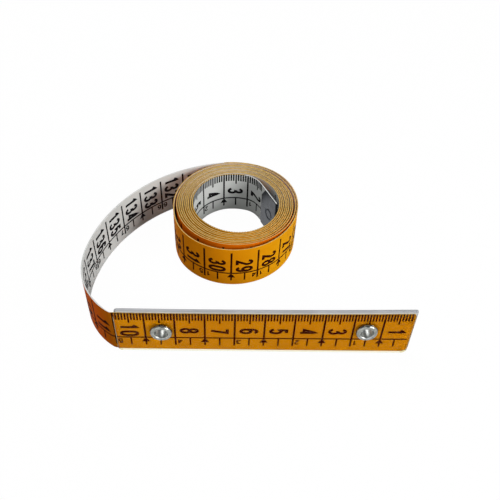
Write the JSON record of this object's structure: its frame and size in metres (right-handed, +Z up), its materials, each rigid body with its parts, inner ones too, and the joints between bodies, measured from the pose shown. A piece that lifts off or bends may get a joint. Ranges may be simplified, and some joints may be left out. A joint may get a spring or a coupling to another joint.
{
  "type": "cloth tape measure",
  "caption": "Printed cloth tape measure, partly rolled into a coil, with a free loop of tape, a stiffened zero end held by eyelets and a folded metal tip on the inner end.",
  "frame": {"origin": "on the surface that the tape's edge stands on, under the middle of the whole object's bounding box", "axes": "+X along the stiffened end towards its zero, +Y from the stiffened end's printed front towards the coil, +Z up across the tape's width"},
  "size_m": [0.1138, 0.081, 0.02],
  "materials": {
    "tape": "vinyl-coated woven cloth, satin, orange front and white back with dark brown print",
    "tip_metal": "nickel-plated folded sheet, satin",
    "clear_plate": "clear rigid plastic, gloss, slightly yellowed at its edges",
    "white_plate": "white rigid plastic, satin",
    "eyelet_metal": "nickel-plated, polished, with small scratches"
  },
  "bodies": {
    "coil": {"tape_coil": "tape"},
    "lead": {"tape_lead": "tape"},
    "stiff_end": {"tape_straight": "tape", "stiffener_front": "clear_plate", "stiffener_back": "white_plate", "eyelet_near_zero": "eyelet_metal", "eyelet_far": "eyelet_metal"},
    "tail": {"tape_tail": "tape", "end_tip": "tip_metal"}
  },
  "joints": [
    {"name": "lead_peel", "type": "hinge", "parent": "coil", "child": "lead", "pos_m": [-0.00814, 0.04002, 0.0095], "axis": [0, 0, 1], "range_deg": [-60, 6], "stiffness_Nm_per_rad": 0.0007},
    {"name": "stiff_end_fold", "type": "hinge", "parent": "lead", "child": "stiff_end", "pos_m": [-0.0446, -0.03845, 0.0095], "axis": [0, 0, 1], "range_deg": [-75, 25], "stiffness_Nm_per_rad": 0.002},
    {"name": "tail_flex", "type": "hinge", "parent": "coil", "child": "tail", "pos_m": [0.00538, 0.02989, 0.0095], "axis": [0, 0, 1], "range_deg": [-45, 0], "stiffness_Nm_per_rad": 0.002}
  ]
}
